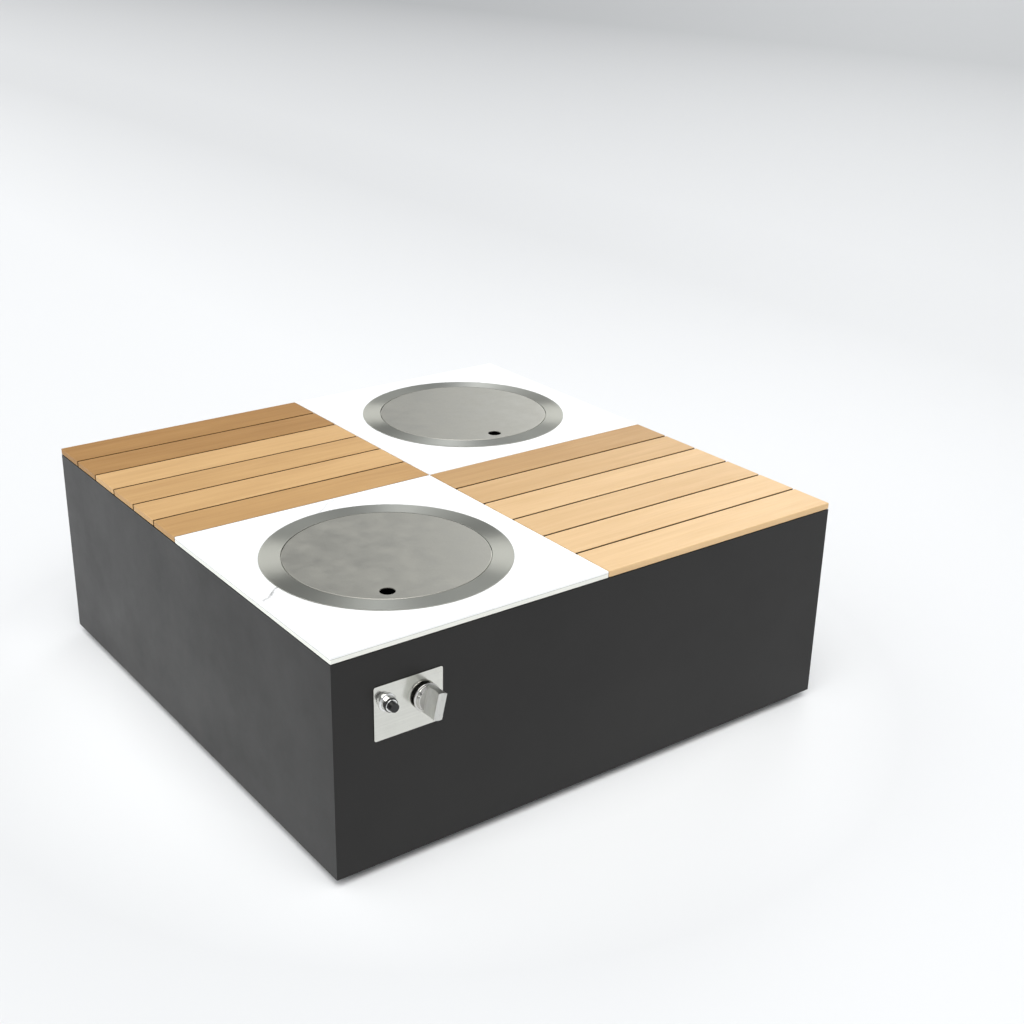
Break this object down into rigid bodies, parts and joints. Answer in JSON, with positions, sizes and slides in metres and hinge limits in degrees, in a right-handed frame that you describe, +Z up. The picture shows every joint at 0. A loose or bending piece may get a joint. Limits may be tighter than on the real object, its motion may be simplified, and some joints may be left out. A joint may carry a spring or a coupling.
{
  "type": "fire pit table",
  "caption": "Low square gas fire table: steel body, slatted wood and stone top, two lidded wells, burner with a grate, push igniter and turn knob.",
  "frame": {"origin": "bottom centre of the steel body, on the surface that the feet stand on", "axes": "+Z up, +X to the right, and -Y towards the person at the controls"},
  "size_m": [1, 1.076, 0.3865],
  "materials": {
    "powder_coat": "satin",
    "frame_steel": "satin",
    "foot_rubber": "matte",
    "fastener_steel": "satin",
    "seal_rubber": "matte",
    "stone": "satin",
    "teak_left": "satin",
    "teak_right": "satin",
    "batten_wood": "matte",
    "bowl_steel": "satin",
    "lid_steel": "satin",
    "plug_rubber": "matte",
    "grate_iron": "matte",
    "burner_steel": "satin",
    "brass": "satin",
    "pipe_brass": "satin",
    "plate_steel": "satin",
    "knob_chrome": "satin",
    "collar_chrome": "polished",
    "igniter_plastic": "matte",
    "button_plastic": "satin",
    "electrode_ceramic": "satin",
    "lead_rubber": "matte"
  },
  "bodies": {
    "table": {"outer_shell": "powder_coat", "centre_rail": "frame_steel", "side_rails": "frame_steel", "corner_plates": "frame_steel", "front_left_foot": "foot_rubber", "front_right_foot": "foot_rubber", "rear_left_foot": "foot_rubber", "rear_right_foot": "foot_rubber", "foot_screws": "fastener_steel", "top_seals": "seal_rubber", "front_stone_top": "stone", "rear_stone_top": "stone", "left_slat_1": "teak_left", "left_slat_2": "teak_left", "left_slat_3": "teak_left", "left_slat_4": "teak_left", "left_slat_5": "teak_left", "left_slat_6": "teak_left", "right_slat_1": "teak_right", "right_slat_2": "teak_right", "right_slat_3": "teak_right", "right_slat_4": "teak_right", "right_slat_5": "teak_right", "right_slat_6": "teak_right", "battens": "batten_wood", "wood_screws": "fastener_steel", "fire_rim": "bowl_steel", "fire_bowl": "bowl_steel", "cooler_rim": "bowl_steel", "cooler_bowl": "bowl_steel", "bowl_clips": "frame_steel", "clip_screws": "fastener_steel", "ring_burner": "burner_steel", "mixing_tube": "burner_steel", "burner_nut": "brass", "injector": "brass", "heat_shield": "burner_steel", "shield_standoffs": "fastener_steel", "control_plate": "plate_steel", "plate_nuts": "fastener_steel", "gas_valve": "brass", "valve_nut": "fastener_steel", "igniter_body": "igniter_plastic", "igniter_collar": "collar_chrome", "igniter_spring": "burner_steel", "electrode": "electrode_ceramic", "ignition_lead": "lead_rubber", "thermocouple": "brass", "gas_inlet": "brass", "inlet_nut": "brass", "inlet_pipe": "pipe_brass", "burner_pipe": "pipe_brass"},
    "front_lid": {"front_lid": "lid_steel"},
    "rear_lid": {"rear_lid": "lid_steel"},
    "fire_grate": {"fire_grate": "grate_iron"},
    "drain_plug": {"drain_plug": "plug_rubber"},
    "valve_plunger": {"valve_plunger": "burner_steel"},
    "knob": {"control_knob": "knob_chrome", "valve_stem": "brass"},
    "igniter_button": {"igniter_button": "button_plastic"}
  },
  "joints": [
    {"name": "front_lid_lift", "type": "slide", "parent": "table", "child": "front_lid", "axis": [0, 0, 1], "range_m": [0, 0.25]},
    {"name": "rear_lid_lift", "type": "slide", "parent": "table", "child": "rear_lid", "axis": [0, 0, 1], "range_m": [0, 0.25]},
    {"name": "grate_lift", "type": "slide", "parent": "table", "child": "fire_grate", "axis": [0, 0, 1], "range_m": [0, 0.045]},
    {"name": "drain_plug_lift", "type": "slide", "parent": "table", "child": "drain_plug", "axis": [0, 0, 1], "range_m": [0, 0.12]},
    {"name": "knob_push", "type": "slide", "parent": "table", "child": "valve_plunger", "axis": [0, 1, 0], "range_m": [0, 0.004], "stiffness_N_per_m": 2500, "springref_m": -0.004},
    {"name": "knob_turn", "type": "hinge", "parent": "valve_plunger", "child": "knob", "pos_m": [-0.34575, -0.52, 0.2775], "axis": [0, -1, 0], "range_deg": [0, 180]},
    {"name": "igniter_press", "type": "slide", "parent": "table", "child": "igniter_button", "axis": [0, 1, 0], "range_m": [0, 0.004], "stiffness_N_per_m": 1500, "springref_m": -0.003, "deforming": ["igniter_spring"]}
  ]
}
